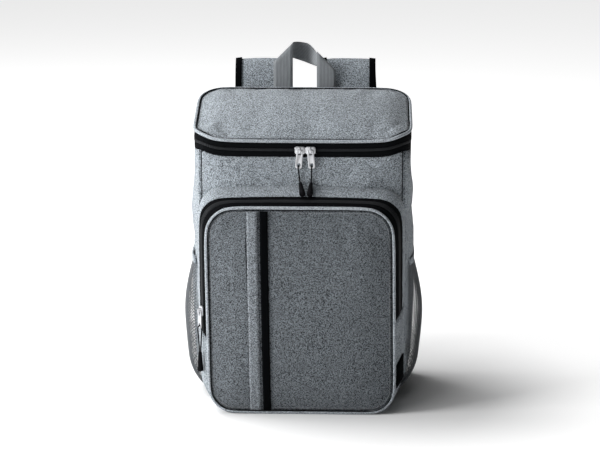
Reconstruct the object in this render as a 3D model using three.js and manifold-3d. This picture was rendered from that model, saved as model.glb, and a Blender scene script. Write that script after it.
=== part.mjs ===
// Cooler backpack standing by itself with its zips closed: a padded box with a sloping zipped lid, a
// front pocket, two net side pockets, a folded carry handle and two shoulder straps.
// Millimetres, +Z up, the front faces -Y, and y is 0 at the main body's front face until the last step.
import * as THREE from 'three';
import { mergeVertices } from 'three/addons/utils/BufferGeometryUtils.js';
import Module from 'manifold-3d';

const wasm = await Module();
wasm.setup();

// clearance between pieces that touch on the real bag
const gap = 0.3;

// main body
const bodyWidth = 280;
const bodyDepth = 150;
const bodyWall = 4;
const backWall = 5;
const frontCorner = 34; // plan radius of the front corners
const seamSetback = 8; // how far behind the face the front seam runs
const backCornerLow = 12; // plan radius of the back corners at the base
const backCornerHigh = 38; // and under the lid
const backCornerLength = 70; // height over which the one turns into the other
const baseCorner = 52; // radius of the lower corners, seen from the front
const frontTopCorner = 3; // radius of the front panel's upper corners
const backTopCorner = 8; // and of the back panel's
const baseRise = 0.3; // lift of the base at its rounded seams, as a share of the corner inset

// lid
const lidProud = 1.5; // how far its corded edge stands out past the body at each side
const lidWidth = bodyWidth + 2 * lidProud;
const lidFrontHeight = 348; // height of the corded edge at the front
const lidSlope = 0.296; // rise of the corded edge towards the back, per mm of depth
const lidBackHeight = lidFrontHeight + lidSlope * bodyDepth;
const lidOverhang = 3;
const lidCorner = 38;
const lidCornerLift = 4.5; // how much the corded edge rises at the front corners
const lidEdge = 4; // thickness of the lid at its edge
const lidCrown = 9;
const pipingDiameter = 4.4;

// lid zip
const zipHeightFront = 17;
const zipHeightSide = 22;
const tapeThickness = 1.2;
const teethWidth = 3.6;
const teethThickness = 2.2;

// front pocket
const pocketWidth = 241.5;
const pocketDrop = 75; // from the lid's corded edge down to the pocket's
const pocketHeight = lidFrontHeight - pocketDrop;
const pocketDepth = 45;
const pocketCornerTop = 38;
const pocketCornerLow = 34;
const pocketBaseWidth = 260;
const pocketBaseDrop = 53; // and down to the pocket's base seam
const pocketBaseHeight = lidFrontHeight - pocketBaseDrop;
const pocketBaseArch = 9; // drop of the base seam from its middle to its corners
const pocketBaseCornerTop = 26;
const pocketBaseCornerLow = 50;
const pocketWall = 2;
const pocketSeatGap = 0.7; // between the base seam and the curved face that it follows
const pocketPuff = 3.5; // outward bulge of the gusset
const pocketSideRound = 2.6; // how late the side gusset turns in towards the front panel
const pocketCrown = 5;
const pocketSkew = 4; // the front panel hangs this much to the right at its foot
const pocketPanelEdge = 3;
const pocketZipWidth = 13;
const pocketZipLeftEnd = 97; // height at which the zip stops on the left side
const pocketZipRightEnd = 122;

// trims on the pocket
const placketWidth = 13.5;
const placketX = -59.5;
const placketThickness = 1.6;
const bandWidth = 10;
const bandX = -44.5;
const bandThickness = 1.4;
const trimMargin = 1.5; // distance of both trims from the piping
const labelWidth = 15;
const labelHeight = 30;
const labelZ = 50;
const labelThickness = 1.2;

// net side pockets
const meshTop = 181;
const meshWall = 1;
const meshBulge = 17;
const meshFront = 22.6; // distance of the net's front edge from the body's face
const meshBack = 9; // and of its back edge from the body's back
const meshFullness = 0.7; // how evenly the net's fullness spreads over its height
const meshSpread = 0.6; // and over its width
const meshBindingHeight = 9;
const meshBindingThickness = 2;

// carry handle
const handleWidth = 26;
const handleThickness = 1.6;
const handleSpan = 58; // between the middles of the two legs
const handleSewn = 16.4; // how far its foot lies below the lid's back edge
const handleRiseLeft = 65; // from the foot to the middle of each fold
const handleRiseRight = 54;
const handleFoot = lidBackHeight - handleSewn;
const handleFoldLeft = handleFoot + handleRiseLeft;
const handleFoldRight = handleFoot + handleRiseRight;
const handleFoldRadius = 2.4;

// shoulder straps
const strapWidth = 74;
const strapThickness = 9;
const strapEdge = 5;
const strapRise = 37.6; // height of its top above the lid's back edge
const strapTop = lidBackHeight + strapRise;
const strapX = 57;
const strapFootX = 84;
const strapFoot = 128;
const strapSewn = 42.4; // how far its sewn end lies below the lid's back edge
const strapStart = lidBackHeight - strapSewn;
const strapParting = 10; // air between the strap's two layers below its turn
const strapBow = 27; // air between strap and back at the strap's widest
const strapFootTaper = 0.42; // share of its width that the strap keeps at its foot
const strapBindingCover = 7;
const strapBindingThickness = 1;
const bindingClear = 0.7; // between the pad's curved faces and its binding
const tailWidth = 24;
const tailThickness = 1.5;
const tailFree = 40; // length of the tail's loose end below the buckle
const tailFootX = 112;
const tailFoot = 42;
const tailSewn = 14; // length of the tail that is sewn flat to the back
const buckleWidth = 34;
const buckleHeight = 26;
const buckleBar = 3.6;
const buckleThickness = 3;

// zip sliders and pulls
const lidMeetX = 4.5; // where the two lid sliders meet
const sliderLength = 13;
const sliderWidth = 9.6;
const sliderPlate = 2.4;
const bridgeLength = 7.4;
const bridgeHeight = 3.8;
const bridgeWidth = 2.4;
const bridgeWire = 1.3;
const bridgeSill = 0.2; // what closes the bridge's eye below, inside the plate
const sliderCorner = 2.5;
const tabPlay = 0.5; // air between a tab and its slider's plate
const tabSlotSideways = 1.4; // play of the tab's slot on the bridge
const tabSlotEndways = 0.9;
const tabWidth = 8.6;
const tabLength = 24;
const tabThickness = 1.2;
const tabCorner = 2.58;
const tabHole = 2.6; // radius
const tabBar = 1.9; // width of the bars round the tab's slot and hole
const tabSplay = 1.6; // sideways shift of the lid tabs
const cordDiameter = 1.8;
const pocketSliderZ = 127;
const pullEndLength = 26;
const pullEndWide = 4; // radius at its foot
const pullEndSlim = 2.2; // radius at its top

const pipingRadius = pipingDiameter / 2;
const mix = THREE.MathUtils.lerp;
const smooth = THREE.MathUtils.smoothstep;
const point = (x, y, z) => new THREE.Vector3(x, y, z);

// A closed surface from points and triangles, turned so that it faces out.
function surface(points, triangles) {
  let volume = 0;
  for (const [a, b, c] of triangles) {
    volume += points[a].dot(points[b].clone().cross(points[c]));
  }
  const faces = volume < 0 ? triangles.map(([a, b, c]) => [a, c, b]) : triangles;
  const geometry = new THREE.BufferGeometry();
  const places = points.flatMap((p) => p.toArray());
  geometry.setAttribute('position', new THREE.Float32BufferAttribute(places, 3));
  geometry.setIndex(faces.flat());
  return geometry;
}

// Cloth or padding with a thickness: two skins on one grid of rows and columns, joined at their rims.
function wall(outer, inner, ring = false) {
  const rows = outer.length;
  const columns = outer[0].length;
  const points = [...outer.flat(), ...inner.flat()];
  const front = (i, j) => (i % rows) * columns + j;
  const back = (i, j) => rows * columns + front(i, j);
  const triangles = [];
  const quad = (a, b, c, d) => triangles.push([a, b, c], [a, c, d]);
  const spans = ring ? rows : rows - 1;
  for (let i = 0; i < spans; i++) {
    for (let j = 0; j < columns - 1; j++) {
      quad(front(i, j), front(i + 1, j), front(i + 1, j + 1), front(i, j + 1));
      quad(back(i, j), back(i, j + 1), back(i + 1, j + 1), back(i + 1, j));
    }
    quad(front(i, 0), back(i, 0), back(i + 1, 0), front(i + 1, 0));
    const last = columns - 1;
    quad(front(i, last), front(i + 1, last), back(i + 1, last), back(i, last));
  }
  if (!ring) {
    for (let j = 0; j < columns - 1; j++) {
      quad(front(0, j), front(0, j + 1), back(0, j + 1), back(0, j));
      quad(front(rows - 1, j), back(rows - 1, j), back(rows - 1, j + 1), front(rows - 1, j + 1));
    }
  }
  return surface(points, triangles);
}

// A panel whose outline shrinks in rings to its middle; front and back place a flat point in space.
function pad(outline, ringShares, front, back) {
  const count = outline.length;
  const middle = outline.reduce((sum, p) => [sum[0] + p[0] / count, sum[1] + p[1] / count], [0, 0]);
  const flat = [middle];
  for (const share of ringShares) {
    for (const p of outline) {
      flat.push([mix(middle[0], p[0], share), mix(middle[1], p[1], share)]);
    }
  }
  const points = [...flat.map(([a, b]) => front(a, b)), ...flat.map(([a, b]) => back(a, b))];
  const skin = flat.length;
  const rings = ringShares.length;
  const at = (ring, k) => 1 + ring * count + (k % count);
  const triangles = [];
  for (let k = 0; k < count; k++) {
    triangles.push([0, at(0, k), at(0, k + 1)]);
    triangles.push([skin, skin + at(0, k + 1), skin + at(0, k)]);
    for (let ring = 0; ring < rings - 1; ring++) {
      const corners = [at(ring, k), at(ring + 1, k), at(ring + 1, k + 1), at(ring, k + 1)];
      const [a, b, c, d] = corners;
      triangles.push([a, b, c], [a, c, d]);
      triangles.push([skin + a, skin + c, skin + b], [skin + a, skin + d, skin + c]);
    }
    const a = at(rings - 1, k);
    const b = at(rings - 1, k + 1);
    triangles.push([a, skin + a, skin + b], [a, skin + b, b]);
  }
  return surface(points, triangles);
}

// A cord that runs round a closed path; up is any direction that the path never follows.
function cordedRing(path, radius, sides, up) {
  const count = path.length;
  const skin = path.map((centre, i) => {
    const along = path[(i + 1) % count].clone().sub(path[(i + count - 1) % count]).normalize();
    const across = along.clone().cross(up).normalize();
    const over = across.clone().cross(along);
    return Array.from({ length: sides }, (_, k) => {
      const turn = (k / sides) * 2 * Math.PI;
      const offset = across.clone().multiplyScalar(Math.cos(turn) * radius);
      return centre.clone().add(offset).addScaledVector(over, Math.sin(turn) * radius);
    });
  });
  const triangles = [];
  const at = (i, k) => (i % count) * sides + (k % sides);
  for (let i = 0; i < count; i++) {
    for (let k = 0; k < sides; k++) {
      const far = at(i + 1, k + 1);
      triangles.push([at(i, k), at(i + 1, k), far], [at(i, k), far, at(i, k + 1)]);
    }
  }
  return surface(skin.flat(), triangles);
}

// Outline of a soft panel with round corners. u runs from 0, low in the middle, to 1, high in the
// middle, with a minus sign up the left side; stretchEnds says where each stretch of it ends.
const stretchEnds = { base: 0.18, lowCorner: 0.34, side: 0.66, highCorner: 0.82 };

function outlineAt(u, shape) {
  const side = u < 0 ? -1 : 1;
  const a = Math.abs(u);
  const { low, high, lowRadius, highRadius, arch = 0 } = shape;
  const wide = (z) => (typeof shape.halfWidth === 'function' ? shape.halfWidth(z) : shape.halfWidth);
  const lowWide = wide(low + lowRadius);
  const highWide = wide(high - highRadius);
  const share = (from, to) => (a - from) / (to - from);
  let x;
  let z;
  let turn; // direction that the outline faces, from straight down
  if (a <= stretchEnds.base) {
    x = share(0, stretchEnds.base) * (lowWide - lowRadius);
    z = low;
    turn = 0;
  } else if (a <= stretchEnds.lowCorner) {
    turn = share(stretchEnds.base, stretchEnds.lowCorner) * Math.PI / 2;
    x = lowWide - lowRadius + lowRadius * Math.sin(turn);
    z = low + lowRadius - lowRadius * Math.cos(turn);
  } else if (a <= stretchEnds.side) {
    const rise = share(stretchEnds.lowCorner, stretchEnds.side);
    const flatZ = mix(low + lowRadius, high - highRadius, rise);
    z = flatZ - arch * rise;
    x = wide(flatZ);
    turn = Math.PI / 2;
  } else if (a <= stretchEnds.highCorner) {
    turn = Math.PI / 2 * (1 + share(stretchEnds.side, stretchEnds.highCorner));
    x = highWide - highRadius + highRadius * Math.sin(turn);
    z = high - highRadius - highRadius * Math.cos(turn) - arch * (x / highWide) ** 2;
  } else {
    x = (1 - share(stretchEnds.highCorner, 1)) * (highWide - highRadius);
    z = high - arch * (x / highWide) ** 2;
    turn = Math.PI;
  }
  return { x: side * x, z, nx: side * Math.sin(turn), nz: -Math.cos(turn) };
}

// Values of u between two ends, with more of them round the corners; it may run on over the top.
function stationsBetween(from, to) {
  const { base, lowCorner, side, highCorner } = stretchEnds;
  const half = [0, base / 2];
  const spread = (a, b, steps) => {
    for (let k = 0; k < steps; k++) {
      half.push(mix(a, b, k / steps));
    }
  };
  spread(base, lowCorner, 4);
  spread(lowCorner, side, 4);
  spread(side, highCorner, 4);
  spread(highCorner, 1, 2);
  const all = [...half.map((u) => -u), ...half, ...half.map((u) => 2 - u), 1];
  const inside = [...new Set(all)].filter((u) => u > from + 0.01 && u < to - 0.01);
  return [from, ...inside.sort((a, b) => a - b), to];
}

const wrapU = (u) => (u > 1 ? u - 2 : u);
const wholeLoop = stationsBetween(-1, 1).slice(1);

// How far a rounded corner draws a wall in, at a distance from the face that it turns into.
function cornerInset(radius, distance) {
  if (distance >= radius) {
    return 0;
  }
  return radius - Math.sqrt(radius ** 2 - (radius - Math.max(distance, 0)) ** 2);
}

const backRadius = (z) => (
  mix(backCornerLow, backCornerHigh, smooth(z, lidFrontHeight - backCornerLength, lidFrontHeight))
);

function bodyHalfWidth(y, z) {
  return bodyWidth / 2 - cornerInset(frontCorner, y) - cornerInset(backRadius(z), bodyDepth - y);
}

function bodyLow(y) {
  return baseRise * (cornerInset(frontCorner, y) + cornerInset(backCornerLow, bodyDepth - y));
}

// The lid's corded edge slopes up to the back and lifts at its front corners.
function lidEdgeHeight(x, y) {
  const acrossFromCorner = (Math.abs(x) - lidWidth / 2 + lidCorner / 3) / (lidCorner / 2);
  const behindCorner = (y - lidCorner / 5) / (lidCorner / 2);
  const lift = lidCornerLift * Math.exp(-(acrossFromCorner ** 2) - behindCorner ** 2);
  return lidFrontHeight + lidSlope * (y + lidOverhang - pipingRadius) + lift;
}

function bodyTop(x, y) {
  const zipHeight = mix(zipHeightFront, zipHeightSide, smooth(y, 0, frontCorner));
  return lidEdgeHeight(x, y) - pipingRadius - zipHeight - 3 * gap;
}

// Depth of the front panel's face: it turns back towards the seam all round its lower outline.
const seamReach = Math.sqrt(frontCorner ** 2 - (frontCorner - seamSetback) ** 2);
const seamShape = {
  halfWidth: (z) => bodyHalfWidth(seamSetback, z),
  low: bodyLow(seamSetback),
  high: bodyTop(0, 0),
  lowRadius: baseCorner,
  highRadius: frontTopCorner,
};

function faceDepth(x, z) {
  const wide = seamShape.halfWidth(z);
  const cornerX = wide - baseCorner;
  const cornerZ = seamShape.low + baseCorner;
  let inside = Math.min(wide - Math.abs(x), z - seamShape.low);
  if (Math.abs(x) > cornerX && z < cornerZ) {
    inside = baseCorner - Math.hypot(Math.abs(x) - cornerX, z - cornerZ);
  }
  const distance = Math.max(inside, 0);
  if (distance >= seamReach) {
    return 0;
  }
  return frontCorner - Math.sqrt(frontCorner ** 2 - (seamReach - distance) ** 2);
}

// The front panel's upper edge follows the lift of the lid's corners, so it has more points there.
function frontPanel() {
  const underLid = [0.822, 0.83, 0.845, 0.865, 0.885].flatMap((u) => [-u, u]);
  const loop = [...new Set([...wholeLoop, ...underLid])].sort((a, b) => a - b);
  const outline = loop.map((u) => {
    const p = outlineAt(u, seamShape);
    const lift = bodyTop(p.x, faceDepth(p.x, p.z)) - seamShape.high;
    return [p.x, p.z + lift * smooth(p.z, seamShape.high - frontCorner, seamShape.high) - gap];
  });
  const front = (x, z) => point(x, faceDepth(x, z), z);
  const back = (x, z) => point(x, faceDepth(x, z) + bodyWall, z);
  return pad(outline, [0.5, 0.82, 0.93, 1], front, back);
}

// Sides and base in one strip, from the front seam round the corner to the back seam.
const gussetFrom = seamSetback + bodyWall + gap;
const gussetTo = bodyDepth - backWall - gap;

function bodyGusset() {
  const depthShares = [0, 0.08, 0.17, 0.5, 0.75, 0.87, 0.95, 1];
  const skin = (inward) => stationsBetween(-stretchEnds.side, stretchEnds.side).map((u) => (
    depthShares.map((share) => {
      const y = mix(gussetFrom, gussetTo, share);
      const shape = {
        halfWidth: (z) => bodyHalfWidth(y, z),
        low: bodyLow(y),
        high: bodyTop(bodyHalfWidth(y, lidFrontHeight), y) - gap,
        lowRadius: baseCorner,
        highRadius: 0,
      };
      const p = outlineAt(u, shape);
      return point(p.x - p.nx * inward, y, p.z - p.nz * inward);
    })
  ));
  return wall(skin(0), skin(bodyWall));
}

function backPanel() {
  const y = gussetTo + gap;
  const shape = {
    halfWidth: (z) => bodyHalfWidth(y, z),
    low: bodyLow(y),
    high: lidEdgeHeight(0, gussetTo) - Math.max(lidEdge / 2, pipingRadius) - gap,
    lowRadius: baseCorner,
    highRadius: backTopCorner,
  };
  const outline = wholeLoop.map((u) => {
    const p = outlineAt(u, shape);
    return [p.x, p.z];
  });
  return pad(outline, [1], (x, z) => point(x, bodyDepth, z), (x, z) => point(x, y, z));
}

// Plan outline of the lid at a distance inside its outermost edge: its z stands for depth.
function lidPlan(inside) {
  return {
    halfWidth: lidWidth / 2 - inside,
    low: inside - lidOverhang,
    high: bodyDepth - inside,
    lowRadius: lidCorner - inside,
    highRadius: lidCorner - inside,
  };
}

function lidPanel() {
  const shape = lidPlan(pipingDiameter + gap);
  const outline = wholeLoop.map((u) => {
    const p = outlineAt(u, shape);
    return [p.x, p.z];
  });
  const middle = (shape.low + shape.high) / 2;
  const crown = (x, y) => {
    const across = 1 - Math.min(1, Math.abs(x / shape.halfWidth)) ** 3;
    const along = 1 - Math.min(1, Math.abs((y - middle) / (shape.high - middle))) ** 3;
    return lidCrown * across * along;
  };
  const top = (x, y) => point(x, y, lidEdgeHeight(x, y) + lidEdge / 2 + crown(x, y));
  const under = (x, y) => point(x, y, lidEdgeHeight(x, y) - lidEdge / 2 + crown(x, y) * 0.7);
  return pad(outline, [0.35, 0.62, 0.82, 0.93, 1], top, under);
}

function lidPiping() {
  const shape = lidPlan(pipingRadius);
  const path = wholeLoop.map((u) => {
    const p = outlineAt(u, shape);
    return point(p.x, p.z, lidEdgeHeight(p.x, p.z));
  });
  return cordedRing(path, pipingRadius, 6, point(0, 0, 1));
}

// One lengthwise strip of the lid's zip, as shares of the zip's height plus a distance in mm.
const zipReach = 0.76; // how far round the lid's outline the zip runs
const zipPlan = lidPlan(pipingRadius);

function lidZipStrip(lowShare, lowShift, highShare, highShift, thickness) {
  const skin = (outward) => stationsBetween(-zipReach, zipReach).map((u) => {
    const p = outlineAt(u, zipPlan);
    const low = bodyTop(p.x, p.z) + gap;
    const high = lidEdgeHeight(p.x, p.z) - pipingRadius - gap;
    return [[lowShare, lowShift], [highShare, highShift]].map(([share, shift]) => (
      point(p.x + p.nx * outward, p.z + p.nz * outward, mix(low, high, share) + shift)
    ));
  });
  return wall(skin(thickness / 2), skin(-thickness / 2));
}

// Front pocket: its gusset runs from the base seam on the body to the corded edge of its front panel.
const pocketBase = {
  halfWidth: pocketBaseWidth / 2,
  low: 0,
  high: pocketBaseHeight,
  lowRadius: pocketBaseCornerLow,
  highRadius: pocketBaseCornerTop,
  arch: pocketBaseArch,
};
const pocketEdge = (inside) => ({
  halfWidth: pocketWidth / 2 - inside,
  low: inside,
  high: pocketHeight - inside,
  lowRadius: pocketCornerLow - inside,
  highRadius: pocketCornerTop - inside,
});
const gussetFront = -(pocketDepth - pipingRadius - gap);

const skewAt = (z) => pocketSkew * (0.5 - z / pocketHeight);

function pocketSkin(u, share, inward) {
  const b = outlineAt(u, pocketBase);
  const f = outlineAt(u, pocketEdge(0));
  const towardsFront = share ** mix(1, pocketSideRound, Math.abs(f.nx));
  const upward = Math.max(0, 1 + f.nz * Math.abs(f.nz));
  const outward = pocketPuff * Math.sin(Math.PI * share) * Math.min(1, upward) - inward;
  const x = mix(b.x, f.x + skewAt(f.z), towardsFront);
  const z = mix(b.z, f.z, towardsFront);
  const seat = faceDepth(b.x - b.nx * inward, b.z - b.nz * inward) - pocketSeatGap;
  return point(x + f.nx * outward, mix(seat, gussetFront, share), z + f.nz * outward);
}

// The height of a place on the pocket's side turned into u.
function pocketSideU(z) {
  const low = pocketCornerLow;
  const high = pocketHeight - pocketCornerTop;
  return mix(stretchEnds.lowCorner, stretchEnds.side, (z - low) / (high - low));
}

const zipLeftU = -pocketSideU(pocketZipLeftEnd);
const zipRightU = pocketSideU(pocketZipRightEnd);
const pocketGussetDepth = pocketDepth - pipingRadius;
const depthShare = (mm) => mm / pocketGussetDepth;
const zipFromShare = 1 - depthShare(pocketZipWidth);

function pocketStrip(fromU, toU, fromShare, toShare, steps, thickness, lift = 0) {
  const skin = (inward) => stationsBetween(fromU, toU).map((u) => (
    Array.from({ length: steps + 1 }, (_, k) => (
      pocketSkin(wrapU(u), mix(fromShare, toShare, k / steps), inward)
    ))
  ));
  return wall(skin(-lift), skin(thickness - lift));
}

const endGap = 0.004; // in u: the space between the zipped and the plain stretch of the gusset
const teethShare = zipFromShare + depthShare((pocketZipWidth - teethWidth) / 2);

// Crowned face of the pocket's front panel.
const panelFlat = pocketEdge(pipingDiameter + gap);

function panelFace(x, z) {
  const middle = pocketHeight / 2;
  const across = 1 - Math.min(1, Math.abs((x - skewAt(z)) / panelFlat.halfWidth)) ** 4;
  const along = 1 - Math.min(1, Math.abs((z - middle) / (panelFlat.high - middle))) ** 4;
  return -pocketDepth - pocketPanelEdge / 2 - pocketCrown * across * along;
}

function pocketPanel() {
  const outline = wholeLoop.map((u) => {
    const p = outlineAt(u, panelFlat);
    return [p.x + skewAt(p.z), p.z];
  });
  const front = (x, z) => point(x, panelFace(x, z), z);
  const back = (x, z) => point(x, panelFace(x, z) + pocketPanelEdge, z);
  return pad(outline, [0.5, 0.8, 0.92, 1], front, back);
}

function pocketPiping() {
  const path = wholeLoop.map((u) => {
    const p = outlineAt(u, pocketEdge(pipingRadius));
    return point(p.x + skewAt(p.z), -pocketDepth, p.z);
  });
  return cordedRing(path, pipingRadius, 6, point(0, 1, 0));
}

// A flat trim that lies on the pocket's face from its lower to its upper edge.
function panelTrim(x, width, thickness) {
  const low = panelFlat.low + trimMargin;
  const high = panelFlat.high - trimMargin;
  const skin = (outward) => Array.from({ length: 13 }, (_, k) => {
    const z = mix(low, high, k / 12);
    return [-0.5, 0.5].map((side) => {
      const px = x + side * width + skewAt(z);
      return point(px, panelFace(px, z) - gap - outward, z);
    });
  });
  return wall(skin(thickness), skin(0));
}

function seamLabel() {
  const uLow = pocketSideU(labelZ - labelHeight / 2);
  const uHigh = pocketSideU(labelZ + labelHeight / 2);
  const skin = (lift) => [uLow, uHigh].map((u) => (
    Array.from({ length: 4 }, (_, k) => pocketSkin(u, 1 - depthShare(labelWidth) * (k / 3), -gap - lift))
  ));
  return wall(skin(labelThickness), skin(0));
}

// Net side pocket: snug at its bound top edge and at its seams, full in between.
const meshLowU = mix(stretchEnds.base, stretchEnds.lowCorner, 0.25);
const meshTopFull = 0.955; // below 1, so that the bound edge stands a little off the side
const meshSteps = 8;

function meshSkin(side, u, share, outward) {
  const y = mix(meshFront, bodyDepth - meshBack, share);
  const shape = {
    halfWidth: (z) => bodyHalfWidth(y, z),
    low: bodyLow(y),
    high: meshTop,
    lowRadius: baseCorner,
    highRadius: 0,
  };
  const p = outlineAt(u, shape);
  const across = Math.sin(Math.PI * share) ** meshSpread;
  const up = (u - meshLowU) / (stretchEnds.side - meshLowU);
  const full = Math.sin(Math.PI * up * meshTopFull) ** meshFullness;
  const out = gap + outward + meshBulge * across * full;
  return point(side * (p.x + p.nx * out), y, p.z + p.nz * out);
}

function meshPocket(side) {
  const rows = stationsBetween(meshLowU, stretchEnds.side);
  const skin = (outward) => rows.map((u) => (
    Array.from({ length: meshSteps + 1 }, (_, k) => meshSkin(side, u, k / meshSteps, outward))
  ));
  return wall(skin(meshWall), skin(0));
}

function meshBinding(side) {
  const skin = (outward) => Array.from({ length: meshSteps + 1 }, (_, k) => {
    const p = meshSkin(side, stretchEnds.side, k / meshSteps, outward);
    return [gap, gap + meshBindingHeight].map((rise) => point(p.x, p.y, p.z + rise));
  });
  return wall(skin(meshBindingThickness), skin(0));
}

// Bends a flat sheet round a line in its plane: what lies beyond the line turns over and comes to
// lie behind the rest, or before it when way is -1.
function foldOver(p, origin, angle, radius, way) {
  const across = point(-Math.sin(angle), 0, Math.cos(angle));
  const beyond = p.clone().sub(origin).dot(across);
  const half = Math.PI * radius / 2;
  if (beyond < -half) {
    return p;
  }
  const turn = Math.min((beyond + half) / radius, Math.PI);
  const rest = Math.max(0, beyond - half);
  const lateral = Math.sin(turn) * radius - half - rest;
  const depth = (1 - Math.cos(turn)) * radius * way;
  return p.clone().addScaledVector(across, lateral - beyond).add(point(0, depth, 0));
}

// The handle is one strip: up the left leg, folded over to the right, folded down the right leg.
// Its rows follow the folds, so that each row stays straight.
function carryHandle() {
  const x = handleSpan / 2;
  const drop = handleFoldRight - handleFoldLeft;
  const fall = Math.atan2(drop, handleSpan);
  const crossing = Math.hypot(handleSpan, drop);
  const leftFold = { at: point(-x, 0, handleFoldLeft), angle: (Math.PI / 2 + fall) / 2 };
  const rightFold = { at: point(x, 0, handleFoldRight), angle: (fall - Math.PI / 2) / 2 };
  const legUp = handleFoldLeft - handleFoot;
  const legDown = handleFoldRight - handleFoot;
  const leftSlope = Math.tan(leftFold.angle);
  const rightSlope = -1 / Math.tan(fall - rightFold.angle);
  const leftReach = Math.PI * handleFoldRadius / 2 / Math.cos(leftFold.angle);
  const rightReach = Math.PI * handleFoldRadius / 2 / Math.sin(fall - rightFold.angle);
  const rows = [{ along: 0, slope: 0 }];
  for (let k = 0; k <= 6; k++) {
    rows.push({ along: legUp + mix(-leftReach, leftReach, k / 6), slope: leftSlope });
  }
  for (let k = 0; k <= 6; k++) {
    rows.push({ along: legUp + crossing + mix(-rightReach, rightReach, k / 6), slope: rightSlope });
  }
  rows.push({ along: legUp + crossing + legDown, slope: 0 });
  const depth = bodyDepth + gap + handleThickness / 2;
  const place = (along, across) => {
    const flat = point(-x + across, 0, handleFoot + along);
    const once = foldOver(flat, leftFold.at, leftFold.angle, handleFoldRadius, 1);
    const twice = foldOver(once, rightFold.at, rightFold.angle, handleFoldRadius, -1);
    return twice.clone().add(point(0, depth, 0));
  };
  const skin = (lift) => rows.map(({ along, slope }) => (
    [-0.5, 0.5].map((share) => {
      const across = share * handleWidth;
      const here = along + slope * across;
      const step = 0.01;
      const rise = place(here + step, across).sub(place(here - step, across));
      const side = place(here, across + step).sub(place(here, across - step));
      return place(here, across).addScaledVector(rise.cross(side).normalize(), lift);
    })
  ));
  return wall(skin(handleThickness / 2), skin(-handleThickness / 2));
}

// Frames along a path through given places, with a number of steps for each span between two
// places; the width of what follows the path is kept as level as the path allows.
function stripFrames(places, steps) {
  const path = new THREE.CatmullRomCurve3(places, false, 'centripetal');
  const shares = [0];
  steps.forEach((count, span) => {
    for (let k = 1; k <= count; k++) {
      shares.push((span + k / count) / steps.length);
    }
  });
  return shares.map((share) => {
    const along = path.getTangent(share);
    const across = point(1, 0, 0).addScaledVector(along, -along.x).normalize();
    return { share, centre: path.getPoint(share), across, over: along.clone().cross(across) };
  });
}

function strip(places, steps, width, thickness) {
  const frames = stripFrames(places, steps);
  const skin = (lift) => frames.map(({ centre, across, over }) => (
    [-width / 2, width / 2].map((w) => (
      centre.clone().addScaledVector(across, w).addScaledVector(over, lift)
    ))
  ));
  return wall(skin(thickness / 2), skin(-thickness / 2));
}

// Shoulder straps: height, distance of the near face from the back, share of the splay, and the
// steps drawn up to the next row.
const strapBack = bodyDepth + gap + handleThickness + bindingClear + strapBindingThickness;
const strapTurn = strapThickness + strapParting; // between the near faces of the two layers at the top
const strapRows = [
  { height: strapStart, out: 0, splay: 0, steps: 1 },
  { height: mix(strapStart, strapTop, 0.4), out: 0, splay: 0, steps: 2 },
  { height: strapTop - strapTurn * 1.25, out: strapTurn * 0.2, splay: 0, steps: 4 },
  { height: strapTop - strapThickness / 2, out: strapTurn * 0.8, splay: 0, steps: 4 },
  { height: strapTop - strapTurn * 1.35, out: strapTurn * 1.4, splay: 0.02, steps: 2 },
  { height: mix(strapFoot, strapTop, 0.7), out: strapBow, splay: 0.2, steps: 2 },
  { height: mix(strapFoot, strapTop, 0.4), out: strapBow * 0.86, splay: 0.6, steps: 2 },
  { height: mix(strapFoot, strapTop, 0.16), out: strapBow * 0.5, splay: 0.88, steps: 4 },
  { height: strapFoot, out: strapBow * 0.25, splay: 1, steps: 0 },
];

function strapFrames(side) {
  const places = strapRows.map(({ height, out, splay }) => (
    point(side * mix(strapX, strapFootX, splay), strapBack + out + strapThickness / 2, height)
  ));
  return stripFrames(places, strapRows.slice(0, -1).map(({ steps }) => steps));
}

const padReach = strapWidth / 2 - gap - strapBindingThickness;
const footTaperFrom = 0.875;

function strapHalfWidth(share) {
  const taper = smooth(share, footTaperFrom, 1) ** 1.5;
  return padReach * mix(1, strapFootTaper, taper);
}

// Half thickness of the pad at a share of its half width.
const strapHalfThickness = (across) => mix(strapThickness, strapEdge, Math.abs(across) ** 3) / 2;

function shoulderStrap(side) {
  const frames = strapFrames(side);
  const skin = (way) => frames.map(({ share, centre, across, over }) => (
    [-1, -0.75, 0, 0.75, 1].map((w) => (
      centre.clone()
        .addScaledVector(across, w * strapHalfWidth(share))
        .addScaledVector(over, way * strapHalfThickness(w))
    ))
  ));
  return wall(skin(1), skin(-1));
}

// The binding wraps both long edges of the pad; each run is a narrow channel.
function strapBinding(side, edge) {
  const frames = strapFrames(side);
  const skin = (grow) => frames.map(({ share, centre, across, over }) => {
    const half = strapHalfWidth(share);
    const start = 1 - strapBindingCover / padReach;
    const profile = [
      { w: half * start, h: strapHalfThickness(start) + bindingClear + grow },
      { w: half + gap + grow, h: strapHalfThickness(1) + bindingClear + grow },
      { w: half + gap + grow, h: -strapHalfThickness(1) - bindingClear - grow },
      { w: half * start, h: -strapHalfThickness(start) - bindingClear - grow },
    ];
    return profile.map(({ w, h }) => (
      centre.clone().addScaledVector(across, edge * w).addScaledVector(over, h)
    ));
  });
  return wall(skin(strapBindingThickness), skin(0));
}

// Lower ends of the straps: a short loop of webbing, a plain two-bar buckle and a webbing tail.
const barTurn = Math.hypot(buckleBar, buckleThickness) / 2 + 2 * gap + tailThickness / 2;
const footOut = strapBack + strapRows[strapRows.length - 1].out + strapThickness / 2;
const strapLoopGap = 1.7; // the pad's foot is cut square to its slope, so it nears the loop at one corner
const buckleTop = strapFoot - strapLoopGap - barTurn * 1.6;

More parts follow.
